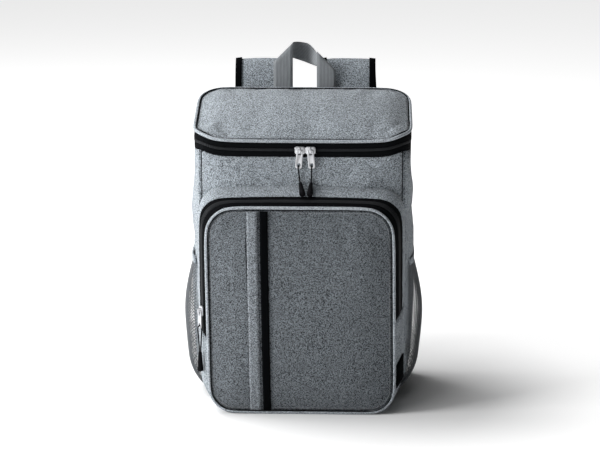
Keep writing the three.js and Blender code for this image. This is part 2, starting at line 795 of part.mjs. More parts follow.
function strapLoop(side) {
  const outer = barTurn + tailThickness / 2;
  const inner = barTurn - tailThickness / 2;
  const rise = strapFoot - strapLoopGap - buckleTop;
  const profile = new THREE.Shape();
  profile.moveTo(-outer, rise);
  profile.lineTo(-outer, 0);
  profile.absarc(0, 0, outer, Math.PI, 2 * Math.PI, false);
  profile.lineTo(outer, rise);
  profile.lineTo(inner, rise);
  profile.lineTo(inner, 0);
  profile.absarc(0, 0, inner, 2 * Math.PI, Math.PI, true);
  profile.lineTo(-inner, rise);
  profile.closePath();
  const geometry = plainExtrude(profile, tailWidth, 4);
  const placed = new THREE.Matrix4().makeBasis(point(0, 1, 0), point(0, 0, 1), point(1, 0, 0));
  placed.setPosition(side * strapFootX - tailWidth / 2, footOut, buckleTop);
  return geometry.applyMatrix4(placed);
}

function plainExtrude(shape, depth, curveSegments) {
  return new THREE.ExtrudeGeometry(shape, { depth, bevelEnabled: false, curveSegments });
}

function roundedShape(width, height, radius) {
  const shape = new THREE.Shape();
  const w = width / 2 - radius;
  const h = height / 2 - radius;
  shape.absarc(w, -h, radius, -Math.PI / 2, 0, false);
  shape.absarc(w, h, radius, 0, Math.PI / 2, false);
  shape.absarc(-w, h, radius, Math.PI / 2, Math.PI, false);
  shape.absarc(-w, -h, radius, Math.PI, 1.5 * Math.PI, false);
  shape.closePath();
  return shape;
}

function rectangleHole(x, y, width, height) {
  const hole = new THREE.Path();
  hole.moveTo(x - width / 2, y - height / 2);
  hole.lineTo(x - width / 2, y + height / 2);
  hole.lineTo(x + width / 2, y + height / 2);
  hole.lineTo(x + width / 2, y - height / 2);
  hole.closePath();
  return hole;
}

function strapBuckle(side) {
  const frame = roundedShape(buckleWidth, buckleHeight, buckleBar);
  const window = (buckleHeight - 3 * buckleBar) / 2;
  for (const way of [-1, 1]) {
    const height = way * (buckleBar + window) / 2;
    frame.holes.push(rectangleHole(0, height, buckleWidth - 2 * buckleBar, window));
  }
  const geometry = plainExtrude(frame, buckleThickness, 3);
  const placed = new THREE.Matrix4().makeBasis(point(1, 0, 0), point(0, 0, 1), point(0, -1, 0));
  const middle = buckleTop + buckleBar / 2 - buckleHeight / 2;
  placed.setPosition(side * strapFootX, footOut + buckleThickness / 2, middle);
  return geometry.applyMatrix4(placed);
}

function strapTail(side) {
  const low = buckleTop + buckleBar - buckleHeight;
  const flat = bodyDepth + gap + tailThickness / 2;
  const halfwayX = mix(tailFootX, strapFootX, 0.55);
  const places = [
    point(side * tailFootX, flat, tailFoot - tailSewn),
    point(side * tailFootX, flat, tailFoot),
    point(side * halfwayX, mix(flat, footOut - barTurn, 0.5), mix(tailFoot, low, 0.5)),
    point(side * strapFootX, footOut - barTurn, low - barTurn * 2.5),
    point(side * strapFootX, footOut - barTurn, low),
    point(side * strapFootX, footOut, low + barTurn),
    point(side * strapFootX, footOut + barTurn, low),
    point(side * strapFootX, footOut + barTurn, low - barTurn * 3),
    point(side * strapFootX, footOut + barTurn * 0.8, low - tailFree),
  ];
  return strip(places, [1, 2, 2, 1, 4, 4, 1, 1], tailWidth, tailThickness);
}

// Zip sliders and pulls, drawn in a frame of their own: X across, Y up, Z out of the zip.
function solidFrom(geometry) {
  const bare = geometry.clone();
  bare.deleteAttribute('normal');
  bare.deleteAttribute('uv');
  const merged = mergeVertices(bare, 1e-4);
  const mesh = new wasm.Mesh({
    numProp: 3,
    vertProperties: merged.attributes.position.array,
    triVerts: new Uint32Array(merged.index.array),
  });
  return new wasm.Manifold(mesh);
}

function joined(first, second) {
  const mesh = solidFrom(first).add(solidFrom(second)).getMesh();
  const geometry = new THREE.BufferGeometry();
  const places = Float32Array.from(mesh.vertProperties);
  geometry.setAttribute('position', new THREE.BufferAttribute(places, 3));
  geometry.setIndex(new THREE.BufferAttribute(Uint32Array.from(mesh.triVerts), 1));
  return geometry;
}

function slider(across, up) {
  const plate = plainExtrude(roundedShape(across, up, sliderCorner), sliderPlate, 2);
  plate.translate(0, 0, -sliderPlate);
  const sunk = sliderPlate / 3;
  const arch = roundedShape(bridgeLength, bridgeHeight + sunk, bridgeWire);
  const openLength = bridgeLength - 2 * bridgeWire;
  const openHeight = bridgeHeight + sunk - bridgeWire - bridgeSill;
  arch.holes.push(rectangleHole(0, (bridgeSill - bridgeWire) / 2, openLength, openHeight));
  const bridge = plainExtrude(arch, bridgeWidth, 2);
  bridge.translate(0, (bridgeHeight - sunk) / 2, -bridgeWidth / 2);
  const upright = new THREE.Matrix4().makeBasis(point(0, 1, 0), point(0, 0, 1), point(1, 0, 0));
  bridge.applyMatrix4(upright);
  return joined(plate, bridge);
}

const tabMiddle = tabPlay + tabThickness / 2; // distance of the tab's middle plane from the plate
const holeUp = tabBar / 2 - tabLength + tabBar + tabHole;
const footBarUp = holeUp - tabHole - tabBar / 2;

function pullTab() {
  const tab = roundedShape(tabWidth, tabLength, tabCorner);
  const slotWidth = bridgeWidth + tabSlotSideways;
  const slotHeight = bridgeLength / 2 + tabSlotEndways;
  const shift = tabBar / 2 - tabLength / 2; // from the tab's middle to the middle of its upper bar
  tab.holes.push(rectangleHole(0, -tabBar / 2 - slotHeight / 2 - shift, slotWidth, slotHeight));
  const hole = new THREE.Path();
  hole.absarc(0, holeUp - shift, tabHole, 0, 2 * Math.PI, true);
  tab.holes.push(hole);
  const geometry = plainExtrude(tab, tabThickness, 3);
  return geometry.translate(0, shift, tabMiddle - tabThickness / 2);
}

// Routes of the pull cords: up to the tab's hole, through it and down again. Columns are height
// above and distance outside the middle of the tab's lower bar.
const lidCordRoute = [
  { up: -17.35, out: 6.69 }, { up: -16.5, out: 4.6 }, { up: -14.1, out: 3 }, { up: -10, out: 2.7 },
  { up: -4.5, out: 2.65 }, { up: 0, out: 2.65 }, { up: 1.88, out: 1.88 }, { up: 2.65, out: 0 },
  { up: 1.88, out: -1.88 }, { up: 0, out: -2.65 }, { up: -5, out: -2.65 }, { up: -11, out: -2.6 },
  { up: -15.6, out: -1.2 }, { up: -17.9, out: 1 }, { up: -18.7, out: 3.9 }, { up: -19.15, out: 5.9 },
];
const pocketCordRoute = [
  { up: -32, out: 1 }, { up: -27, out: 1.1 }, { up: -20, out: 1.5 }, { up: -12, out: 2 },
  { up: -5, out: 2.65 }, { up: 0, out: 2.65 }, { up: 1.88, out: 1.88 }, { up: 2.65, out: 0 },
  { up: 1.88, out: -1.88 }, { up: 0, out: -2.65 }, { up: -5, out: -2.65 }, { up: -12, out: -2 },
  { up: -20, out: -1.5 }, { up: -27, out: -1.1 }, { up: -32, out: -1 },
];

function pullCord(route, lean) {
  const places = route.map(({ up, out }) => (
    point(lean * Math.min(0, up), footBarUp + up, tabMiddle + out)
  ));
  const path = new THREE.CatmullRomCurve3(places, false, 'centripetal');
  const section = new THREE.Shape().absarc(0, 0, cordDiameter / 2, 0, 2 * Math.PI, false);
  const drawn = { extrudePath: path, steps: 28, curveSegments: 4, bevelEnabled: false };
  return new THREE.ExtrudeGeometry(section, drawn);
}

// Moulded end of a pull: a tapered pin with rounded ends, drawn down from its upper face.
function pullEnd(place, direction) {
  const halfway = mix(pullEndSlim, pullEndWide, 0.5);
  const profile = [
    { radius: 0, along: 0 },
    { radius: pullEndSlim, along: 0 },
    { radius: pullEndSlim + 0.5, along: pullEndLength * 0.05 },
    { radius: halfway, along: pullEndLength * 0.45 },
    { radius: pullEndWide, along: pullEndLength * 0.82 },
    { radius: pullEndWide * 0.9, along: pullEndLength * 0.95 },
    { radius: pullEndWide * 0.55, along: pullEndLength },
    { radius: 0, along: pullEndLength },
  ].map(({ radius, along }) => new THREE.Vector2(radius, along));
  const geometry = new THREE.LatheGeometry(profile, 10);
  const turn = new THREE.Quaternion().setFromUnitVectors(point(0, 1, 0), direction.clone().normalize());
  return geometry.applyQuaternion(turn).translate(place.x, place.y, place.z);
}

// Places of the pulls: a frame on the zip's face, with the across, up and out directions.
function lidSliderFrame(x) {
  const depth = zipPlan.low;
  const middle = (bodyTop(x, depth) + gap + lidEdgeHeight(x, depth) - pipingRadius - gap) / 2;
  const frame = new THREE.Matrix4().makeBasis(point(1, 0, 0), point(0, 0, 1), point(0, -1, 0));
  return frame.setPosition(x, depth - teethThickness / 2 - gap - sliderPlate, middle);
}

function pocketSliderFrame() {
  const u = -pocketSideU(pocketSliderZ);
  const share = zipFromShare + depthShare(pocketZipWidth / 2);
  const step = 0.01;
  const along = pocketSkin(u, share + step, 0).sub(pocketSkin(u, share - step, 0)).normalize();
  const up = point(0, 0, 1);
  const out = up.clone().cross(along).normalize();
  if (out.y > 0) {
    out.negate();
  }
  const lift = teethThickness / 2 + gap + sliderPlate;
  const frame = new THREE.Matrix4().makeBasis(up.clone().cross(out), up, out);
  const place = pocketSkin(u, share, tapeThickness / 2).addScaledVector(out, lift);
  return frame.setPosition(place);
}

const leftFrame = lidSliderFrame(lidMeetX - (sliderLength + gap) / 2);
const rightFrame = lidSliderFrame(lidMeetX + (sliderLength + gap) / 2);
const pocketFrame = pocketSliderFrame();

// Angle that swings a tab sideways round its upper bar.
const swing = (way) => new THREE.Matrix4().makeRotationZ(way * Math.atan2(tabSplay, -holeUp));

// The lid's moulded ends lie on the slope of the pocket's gusset; the pocket's hangs straight down.
const lidEndFrom = { up: -18.45, out: 6.75 };
const lidEndDirection = (lean) => point(lean, -0.4, 0.92);
const lidLean = { left: -0.12, right: 0.03 };

function lidPull(frame, way, lean) {
  const turned = frame.clone().multiply(swing(way));
  const bar = point(0, footBarUp, 0).applyMatrix4(swing(way));
  const hung = frame.clone().multiply(new THREE.Matrix4().makeTranslation(bar.x, bar.y - footBarUp, 0));
  const end = point(lean * lidEndFrom.up, footBarUp + lidEndFrom.up, tabMiddle + lidEndFrom.out);
  return {
    tab: pullTab().applyMatrix4(turned),
    cord: pullCord(lidCordRoute, lean).applyMatrix4(hung),
    end: pullEnd(end, lidEndDirection(-lean * 1.2)).applyMatrix4(hung),
  };
}

const leftPull = lidPull(leftFrame, -1, lidLean.left);
const rightPull = lidPull(rightFrame, 1, lidLean.right);
const pocketPullFrom = point(0, footBarUp + pocketCordRoute[0].up - gap, tabMiddle);

// Finishes
const finish = (color, roughness, metalness = 0) => (
  new THREE.MeshStandardMaterial({ color, roughness, metalness })
);
const heather = finish(0x8a9197, 0.95);
const lightHeather = finish(0x9aa1a7, 0.95);
const blackTape = finish(0x17191b, 0.8);
const blackPlastic = finish(0x1c1d1f, 0.55);
const netting = finish(0x9da3a8, 0.9);
const webbing = finish(0x7b8187, 0.85);
const silver = finish(0xc9cbcd, 0.3, 0.9);

// Front and back edges of the strips round the top of the pocket, as shares of the gusset's depth.
const shareGap = depthShare(gap);
const teethEnd = teethShare + depthShare(teethWidth);
const aboveZip = { from: 0, to: zipFromShare - shareGap };
const tapeRear = { from: zipFromShare, to: teethShare - shareGap };
const teeth = { from: teethShare, to: teethEnd };
const tapeFront = { from: teethEnd + shareGap, to: 1 };
const overTop = ({ from, to }, steps, thickness, lift) => (
  pocketStrip(zipRightU + endGap, 2 + zipLeftU - endGap, from, to, steps, thickness, lift)
);
const roundBottom = pocketStrip(zipLeftU, zipRightU, 0, 1, 5, pocketWall);
const teethLift = (teethThickness - tapeThickness) / 2;

const half = teethWidth / 2;
const pieces = [
  ['body_front_panel', frontPanel(), heather],
  ['body_gusset', bodyGusset(), heather],
  ['body_back_panel', backPanel(), heather],
  ['lid_panel', lidPanel(), lightHeather],
  ['lid_piping', lidPiping(), lightHeather],
  ['lid_zip_tape_lower', lidZipStrip(0, 0, 0.5, -half - gap, tapeThickness), blackTape],
  ['lid_zip_teeth', lidZipStrip(0.5, -half, 0.5, half, teethThickness), blackPlastic],
  ['lid_zip_tape_upper', lidZipStrip(0.5, half + gap, 1, 0, tapeThickness), blackTape],
  ['lid_slider_left', slider(sliderLength, sliderWidth).applyMatrix4(leftFrame), silver],
  ['lid_slider_right', slider(sliderLength, sliderWidth).applyMatrix4(rightFrame), silver],
  ['lid_pull_tab_left', leftPull.tab, silver],
  ['lid_pull_tab_right', rightPull.tab, silver],
  ['lid_pull_cord_left', leftPull.cord, blackTape],
  ['lid_pull_cord_right', rightPull.cord, blackTape],
  ['lid_pull_end_left', leftPull.end, blackPlastic],
  ['lid_pull_end_right', rightPull.end, blackPlastic],
  ['pocket_gusset_upper', overTop(aboveZip, 4, pocketWall), lightHeather],
  ['pocket_gusset_lower', roundBottom, heather],
  ['pocket_zip_tape_rear', overTop(tapeRear, 1, tapeThickness), blackTape],
  ['pocket_zip_teeth', overTop(teeth, 1, teethThickness, teethLift), blackPlastic],
  ['pocket_zip_tape_front', overTop(tapeFront, 1, tapeThickness), blackTape],
  ['pocket_front_panel', pocketPanel(), heather],
  ['pocket_piping', pocketPiping(), lightHeather],
  ['pocket_slider', slider(sliderWidth, sliderLength).applyMatrix4(pocketFrame), silver],
  ['pocket_pull_tab', pullTab().applyMatrix4(pocketFrame), silver],
  ['pocket_pull_cord', pullCord(pocketCordRoute, 0).applyMatrix4(pocketFrame), blackTape],
  ['pocket_pull_end', pullEnd(pocketPullFrom, point(0, -1, 0)).applyMatrix4(pocketFrame), blackPlastic],
  ['placket_strip', panelTrim(placketX, placketWidth, placketThickness), lightHeather],
  ['webbing_band', panelTrim(bandX, bandWidth, bandThickness), blackTape],
  ['seam_label', seamLabel(), blackTape],
  ['carry_handle', carryHandle(), webbing],
];
for (const [name, side] of [['left', -1], ['right', 1]]) {
  pieces.push(
    [`mesh_pocket_${name}`, meshPocket(side), netting],
    [`mesh_binding_${name}`, meshBinding(side), lightHeather],
    [`shoulder_strap_${name}`, shoulderStrap(side), heather],
    [`strap_binding_outer_${name}`, strapBinding(side, side), blackTape],
    [`strap_binding_inner_${name}`, strapBinding(side, -side), blackTape],
    [`strap_loop_${name}`, strapLoop(side), blackTape],
    [`strap_buckle_${name}`, strapBuckle(side), blackPlastic],
    [`strap_tail_${name}`, strapTail(side), blackTape],
  );
}

const bag = new THREE.Group();
for (const [name, geometry, material] of pieces) {
  const mesh = new THREE.Mesh(geometry, material);
  mesh.name = name;
  bag.add(mesh);
}

// The origin is on the ground under the middle of the bag's box.
const middle = new THREE.Box3().setFromObject(bag).getCenter(new THREE.Vector3());
const whole = new THREE.Group();
bag.position.set(-middle.x, -middle.y, 0);
whole.add(bag);

export default whole;
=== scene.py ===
import math
import bmesh
import bpy
import numpy as np
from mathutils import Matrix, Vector, noise
from mathutils.bvhtree import BVHTree
from mathutils.kdtree import KDTree


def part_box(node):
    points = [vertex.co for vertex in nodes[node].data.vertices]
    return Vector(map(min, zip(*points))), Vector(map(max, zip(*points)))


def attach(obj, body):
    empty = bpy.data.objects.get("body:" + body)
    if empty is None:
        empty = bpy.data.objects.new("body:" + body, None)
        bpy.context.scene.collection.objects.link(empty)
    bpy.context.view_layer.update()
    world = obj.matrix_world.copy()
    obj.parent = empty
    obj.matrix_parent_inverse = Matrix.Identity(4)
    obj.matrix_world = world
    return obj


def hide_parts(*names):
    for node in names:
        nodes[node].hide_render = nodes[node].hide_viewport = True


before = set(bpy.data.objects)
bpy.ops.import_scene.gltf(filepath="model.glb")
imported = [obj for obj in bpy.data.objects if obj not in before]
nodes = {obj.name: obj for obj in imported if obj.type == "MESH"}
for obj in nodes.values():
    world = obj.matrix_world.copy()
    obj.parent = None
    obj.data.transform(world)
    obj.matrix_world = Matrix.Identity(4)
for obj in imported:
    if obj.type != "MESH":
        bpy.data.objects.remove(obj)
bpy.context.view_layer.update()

mm = 0.001


# Camera. The bag is seen from slightly above and from a touch to its right, from far
# enough away that its sides hardly converge.
camera_place = Vector((0.074, -2.494, 0.799))
camera_turn = math.radians(1.8)
camera_fall = math.radians(13.0)
camera_data = bpy.data.cameras.new("camera")
camera_data.lens = 116.6
camera_data.sensor_width = 36
camera_data.clip_start = 0.1
camera_data.clip_end = 60
camera = bpy.data.objects.new("camera", camera_data)
sight = Vector((
    -math.sin(camera_turn) * math.cos(camera_fall),
    math.cos(camera_turn) * math.cos(camera_fall),
    -math.sin(camera_fall),
))
camera.location = camera_place
camera.rotation_mode = "QUATERNION"
camera.rotation_quaternion = sight.to_track_quat("-Z", "Y")
bpy.context.scene.collection.objects.link(camera)
bpy.context.scene.camera = camera


# Pull cords. Three short loops of black braided cord, 1.8 mm thick, each threaded through
# the round hole of a zip tab; both ends go into one moulded end.
class Wire:
    """A number on its way through a material; sums and products of wires add Math nodes."""

    def __init__(self, finish, socket):
        self.finish = finish
        self.socket = socket

    def _math(self, operation, *terms):
        return self.finish.node("ShaderNodeMath", {"operation": operation}, dict(enumerate(terms)))

    def __add__(self, other):
        return self._math("ADD", self, other)

    __radd__ = __add__

    def __mul__(self, other):
        return self._math("MULTIPLY", self, other)

    __rmul__ = __mul__

    def __sub__(self, other):
        return self._math("SUBTRACT", self, other)

    def __rsub__(self, other):
        return self._math("SUBTRACT", other, self)

    def __truediv__(self, other):
        return self._math("DIVIDE", self, other)

    def __pow__(self, other):
        return self._math("POWER", self, other)

    def wave(self, pitch):
        """0 to 1 and back once for each pitch."""
        return self._math("SINE", self * (2 * math.pi / pitch)) * 0.5 + 0.5

    def clamped(self):
        return self.finish.node("ShaderNodeClamp", {}, {0: self})


class Finish:
    """A material and its nodes."""

    def __init__(self, name, slot, roughness=0.9, metallic=0.0, sheen=0.0, specular=0.3):
        self.material = bpy.data.materials.new(name)
        self.material.use_nodes = True
        self.slot = slot
        self.tree = self.material.node_tree
        self.shader = self.tree.nodes["Principled BSDF"]
        self.shader.inputs["Roughness"].default_value = roughness
        self.shader.inputs["Metallic"].default_value = metallic
        self.shader.inputs["Sheen Weight"].default_value = sheen
        self.shader.inputs["Specular IOR Level"].default_value = specular

    def node(self, kind, settings, values, out=0):
        made = self.tree.nodes.new(kind)
        for name, value in settings.items():
            if name == "stops":
                ramp = made.color_ramp
                while len(ramp.elements) < len(value):
                    ramp.elements.new(0.5)
                for element, (place, color) in zip(ramp.elements, value):
                    element.position = place
                    element.color = color
            else:
                setattr(made, name, value)
        for name, value in values.items():
            if isinstance(value, Wire):
                self.tree.links.new(value.socket, made.inputs[name])
            else:
                made.inputs[name].default_value = value
        return Wire(self, made.outputs[out])

    def feed(self, name, wire):
        self.tree.links.new(wire.socket, self.shader.inputs[name])

    def place(self):
        """The point on the bag, in metres, and its three numbers."""
        point = self.node("ShaderNodeNewGeometry", {}, {}, "Position")
        apart = self.node("ShaderNodeSeparateXYZ", {}, {0: point})
        axes = [Wire(self, apart.socket.node.outputs[k]) for k in range(3)]
        return point, axes

    def stretched(self, point, x, y, z):
        return self.node("ShaderNodeVectorMath", {"operation": "MULTIPLY"}, {0: point, 1: (x, y, z)})

    def grain(self, point, size, detail=2.0, rough=0.5):
        """Noise whose features are about as large as size."""
        return self.node(
            "ShaderNodeTexNoise",
            {"noise_dimensions": "3D"},
            {"Vector": point, "Scale": 1 / size, "Detail": detail, "Roughness": rough},
        )

    def tint(self, share, low, high):
        return self.node(
            "ShaderNodeMix",
            {"data_type": "RGBA"},
            {"Factor": share, 6: (*low, 1), 7: (*high, 1)},
            2,
        )

    def relief(self, height, depth, strength=1.0):
        bump = self.node(
            "ShaderNodeBump", {}, {"Strength": strength, "Distance": depth, "Height": height}, "Normal"
        )
        self.feed("Normal", bump)


def object_from(name, points, faces, finish, shade_smooth=True):
    mesh = bpy.data.meshes.new(name)
    mesh.from_pydata([tuple(p) for p in points], [], [tuple(f) for f in faces])
    mesh.validate()
    mesh.polygons.foreach_set("use_smooth", [shade_smooth] * len(mesh.polygons))
    made = bpy.data.objects.new(name, mesh)
    bpy.context.scene.collection.objects.link(made)
    dress(made, finish)
    return made


def dress(piece, finish):
    piece.data.materials.clear()
    piece.data.materials.append(finish.material)
    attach(piece, "root")


def plate_axes(node):
    """Middle, long axis and thin axis of a flat piece, the long one up and the thin one out."""
    points = np.array([v.co for v in nodes[node].data.vertices])
    middle = (points.min(0) + points.max(0)) / 2
    spread = np.linalg.eigh(np.cov((points - middle).T))[1]
    thin = Vector(spread[:, 0])
    long = Vector(spread[:, 2])
    if long.z < 0:
        long.negate()
    if thin.y > 0:
        thin.negate()
    return Vector(middle), long, thin


def smooth_path(places, steps):
    """A soft line through the places, with a number of points for each span."""
    out = []
    padded = [places[0] * 2 - places[1], *places, places[-1] * 2 - places[-2]]
    for i in range(1, len(padded) - 2):
        a, b, c, d = padded[i - 1:i + 3]
        for k in range(steps):
            t = k / steps
            out.append(0.5 * (
                2 * b + (c - a) * t + (2 * a - 5 * b + 4 * c - d) * t ** 2 + (3 * b - a - 3 * c + d) * t ** 3
            ))
    out.append(places[-1].copy())
    return out


def path_length(points):
    return sum((b - a).length for a, b in zip(points, points[1:]))


cord_diameter = 1.8 * mm
tab_length = 24 * mm
tab_bar = 1.9 * mm
braid = Finish("braided_cord", "black_cord", roughness=0.8, specular=0.12)
point, (x, y, z) = braid.place()
strands = ((x + y + z).wave(1.1 * mm) * (x - y + z * 0.8).wave(1.1 * mm)) ** 0.5
braid.feed("Base Color", braid.tint(strands, (0.003, 0.003, 0.0035), (0.014, 0.0145, 0.016)))
braid.relief(strands, 0.15 * mm)

# columns: height above and distance outside the middle of the tab's lower bar, in mm
lid_route = [
    (-17.35, 6.69), (-16.5, 4.6), (-14.1, 3), (-10, 2.7), (-4.5, 2.65), (0, 2.65), (1.88, 1.88), (2.65, 0),
    (1.88, -1.88), (0, -2.65), (-5, -2.65), (-11, -2.6), (-15.6, -1.2), (-17.9, 1), (-18.7, 3.9),
    (-19.15, 5.9),
]
pocket_route = [
    (-32, 1), (-27, 1.1), (-20, 1.5), (-12, 2), (-5, 2.65), (0, 2.65), (1.88, 1.88), (2.65, 0),
    (1.88, -1.88), (0, -2.65), (-5, -2.65), (-12, -2), (-20, -1.5), (-27, -1.1), (-32, -1),
]
pulls = [
    ("lid_pull_cord_left", "lid_pull_tab_left", "lid_pull_end_left", lid_route, -0.12),
    ("lid_pull_cord_right", "lid_pull_tab_right", "lid_pull_end_right", lid_route, 0.03),
    ("pocket_pull_cord", "pocket_pull_tab", "pocket_pull_end", pocket_route, 0.0),
]
cord_pieces = []
for cord_node, tab_node, end_node, route, lean in pulls:
    middle, up, out = plate_axes(tab_node)
    bar = middle - up * (tab_length - tab_bar) / 2
    plumb = Vector((0, 0, 1))
    side = plumb.cross(out).normalized()
    places = [
        bar + side * (lean * min(0, rise)) * mm + plumb * rise * mm + out * away * mm
        for rise, away in route
    ]
    line = smooth_path(places, 3)
    curve = bpy.data.curves.new(cord_node + "_braid", "CURVE")
    curve.dimensions = "3D"
    curve.bevel_depth = cord_diameter / 2
    curve.bevel_resolution = 3
    spline = curve.splines.new("POLY")
    spline.points.add(len(line) - 1)
    for target, p in zip(spline.points, line):
        target.co = (*p, 1)
    spline.use_smooth = True
    cord = bpy.data.objects.new(cord_node + "_braid", curve)
    bpy.context.scene.collection.objects.link(cord)
    dress(cord, braid)
    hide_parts(cord_node)
    cord_pieces.append((cord, end_node, bar - plumb * 2.5 * mm, path_length(line)))


# Moulded ends of the pulls: black rubbery plastic, a slim tapering pin with ribs for the
# fingers, moulded round the two ends of the cord.
moulding = Finish("moulded_plastic", "moulded_end", roughness=0.6, specular=0.03)
point, (x, y, z) = moulding.place()
speckle = moulding.grain(point, 0.6 * mm)
moulding.feed("Base Color", moulding.tint(speckle, (0.0015, 0.0015, 0.002), (0.005, 0.005, 0.006)))
moulding.feed("Roughness", speckle * 0.15 + 0.42)
moulding.relief(speckle, 0.03 * mm)

end_length = 26 * mm
end_slim = 2.2 * mm
end_wide = 4.0 * mm
for cord, end_node, leaves, length in cord_pieces:
    middle, up, out = plate_axes(end_node)
    points = np.array([v.co for v in nodes[end_node].data.vertices])
    along = (points - np.array(middle)) @ np.array(up)
    top = middle + up * along.max()
    right = up.orthogonal().normalized()
    front = up.cross(right)
    rings = 44
    sides = 20
    shape = []
    for i in range(rings + 1):
        t = i / rings
        radius = end_slim + (end_wide - end_slim) * min(1, t / 0.85)
        radius *= min(1, math.sqrt(max(0, 1 - ((t - 0.93) / 0.07) ** 2))) if t > 0.93 else 1
        radius *= math.sqrt(max(0, 1 - ((0.03 - t) / 0.03) ** 2)) * 0.5 + 0.5 if t < 0.03 else 1
        if 0.3 < t < 0.85:
            radius -= 0.22 * mm * (0.5 + 0.5 * math.cos((t - 0.3) / 0.55 * 2 * math.pi * 8))
        shape.append((t * end_length, max(radius, 0.05 * mm)))
    ring_points = [
        top - up * down + right * math.cos(2 * math.pi * k / sides) * radius
        + front * math.sin(2 * math.pi * k / sides) * radius
        for down, radius in shape for k in range(sides)
    ]
    faces = [
        (i * sides + k, i * sides + (k + 1) % sides, (i + 1) * sides + (k + 1) % sides, (i + 1) * sides + k)
        for i in range(rings) for k in range(sides)
    ]
    faces.append(tuple(range(sides))[::-1])
    faces.append(tuple(rings * sides + k for k in range(sides)))
    moulded = object_from(end_node + "_ribbed", ring_points, faces, moulding)
    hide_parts(end_node)


# Zip sliders and tabs: die-cast metal with a satin silver plating. The sliders run on the
# teeth and the tabs hang from their bridges.
plating = Finish("silver_plating", "silver_zip_metal", roughness=0.32, metallic=1.0, specular=0.5)
point, (x, y, z) = plating.place()
wear = plating.grain(point, 2.5 * mm, detail=4.0)
plating.feed("Base Color", plating.tint(wear, (0.42, 0.43, 0.45), (0.66, 0.67, 0.69)))
plating.feed("Roughness", wear * 0.2 + 0.22)
plating.relief(plating.grain(point, 0.5 * mm), 0.02 * mm)


def refined(node, name, finish, levels=2, sharp=35, swell=0.0, edge_round=0.0, tuck=None):
    """A finer copy of a CAD piece: its flat pairs of triangles become quads, its rims stay
    crisp, and its skins are drawn smooth between them. tuck moves the points of its rims."""
    form = bmesh.new()
    form.from_mesh(nodes[node].data)
    bmesh.ops.remove_doubles(form, verts=form.verts, dist=0.02 * mm)
    bmesh.ops.join_triangles(
        form, faces=form.faces, angle_face_threshold=math.radians(40), angle_shape_threshold=math.radians(75),
    )
    bmesh.ops.recalc_face_normals(form, faces=form.faces)
    crease = form.edges.layers.float.new("crease_edge")
    for edge in form.edges:
        if len(edge.link_faces) == 2 and edge.calc_face_angle(0) > math.radians(sharp):
            edge[crease] = 1 - edge_round
    rim = [v for v in form.verts if any(e[crease] > 0 for e in v.link_edges)]
    moves = [tuck(v) for v in rim] if tuck else []
    for v, move in zip(rim, moves):
        v.co += move
    form.verts.index_update()
    sewn = [v.index for v in rim]
    mesh = bpy.data.meshes.new(name)
    form.to_mesh(mesh)
    form.free()
    made = bpy.data.objects.new(name, mesh)
    made.vertex_groups.new(name="sewn").add(sewn, 1, "REPLACE")
    bpy.context.scene.collection.objects.link(made)
    if levels:
        finer = made.modifiers.new("finer", "SUBSURF")
        finer.levels = levels
        finer.render_levels = levels
        apply_modifiers(made)
    if swell:
        normals = [v.normal.copy() for v in made.data.vertices]
        for v, n in zip(made.data.vertices, normals):
            v.co += n * swell
    made.data.polygons.foreach_set("use_smooth", [True] * len(made.data.polygons))
    dress(made, finish)
    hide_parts(node)
    return made


def apply_modifiers(piece):
    seen = piece.evaluated_get(bpy.context.evaluated_depsgraph_get())
    fresh = bpy.data.meshes.new_from_object(seen)
    piece.modifiers.clear()
    old = piece.data
    piece.data = fresh
    bpy.data.meshes.remove(old)


def bevelled(node, name, finish, width, segments=3, angle=35):
    """A hard CAD piece with its edges rounded as a casting or moulding has them."""
    form = bmesh.new()
    form.from_mesh(nodes[node].data)
    bmesh.ops.remove_doubles(form, verts=form.verts, dist=0.02 * mm)
    bmesh.ops.recalc_face_normals(form, faces=form.faces)
    bmesh.ops.dissolve_limit(form, angle_limit=math.radians(1), verts=form.verts, edges=form.edges)
    mesh = bpy.data.meshes.new(name)
    form.to_mesh(mesh)
    form.free()
    made = bpy.data.objects.new(name, mesh)
    bpy.context.scene.collection.objects.link(made)
    bevel = made.modifiers.new("edges", "BEVEL")
    bevel.width = width
    bevel.segments = segments
    bevel.limit_method = "ANGLE"
    bevel.angle_limit = math.radians(angle)
    bevel.harden_normals = True
    made.data.polygons.foreach_set("use_smooth", [True] * len(made.data.polygons))
    apply_modifiers(made)
    dress(made, finish)
    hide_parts(node)
    return made


for node in ("lid_slider_left", "lid_slider_right", "pocket_slider"):
    bevelled(node, node + "_cast", plating, 0.35 * mm)
for node in ("lid_pull_tab_left", "lid_pull_tab_right", "pocket_pull_tab"):
    bevelled(node, node + "_cast", plating, 0.3 * mm)


# Body. Grey melange polyester over foam: a front panel, one strip for the sides and the
# base, and a back panel, sewn together round their edges.
def melange(name, slot, low, high, thread=0.9):
    """Woven polyester of light and dark yarns: short flecks along and across, and a fine weave."""
    cloth = Finish(name, slot, roughness=0.92, sheen=0.15, specular=0.2)
    point, (x, y, z) = cloth.place()
    across = cloth.grain(cloth.stretched(point, 0.3, 0.3, 1.0), 0.5 * mm, detail=1.0)
    down = cloth.grain(cloth.stretched(point, 1.0, 1.0, 0.3), 0.55 * mm, detail=1.0)
    broad = cloth.grain(point, 11 * mm, detail=3.0)
    fleck = ((across + down - 1.0) * 11.0 + (broad - 0.5) * 0.4 + 0.5).clamped()
    weave = (x + y * 0.9).wave(thread * mm) * z.wave(thread * mm) + (x - y).wave(thread * 1.1 * mm) * 0.2
    cloth.feed("Base Color", cloth.tint(fleck, low, high))
    cloth.feed("Roughness", fleck * 0.1 + 0.86)
    cloth.relief(weave + fleck * 0.8, 0.16 * mm, 0.7)
    return cloth


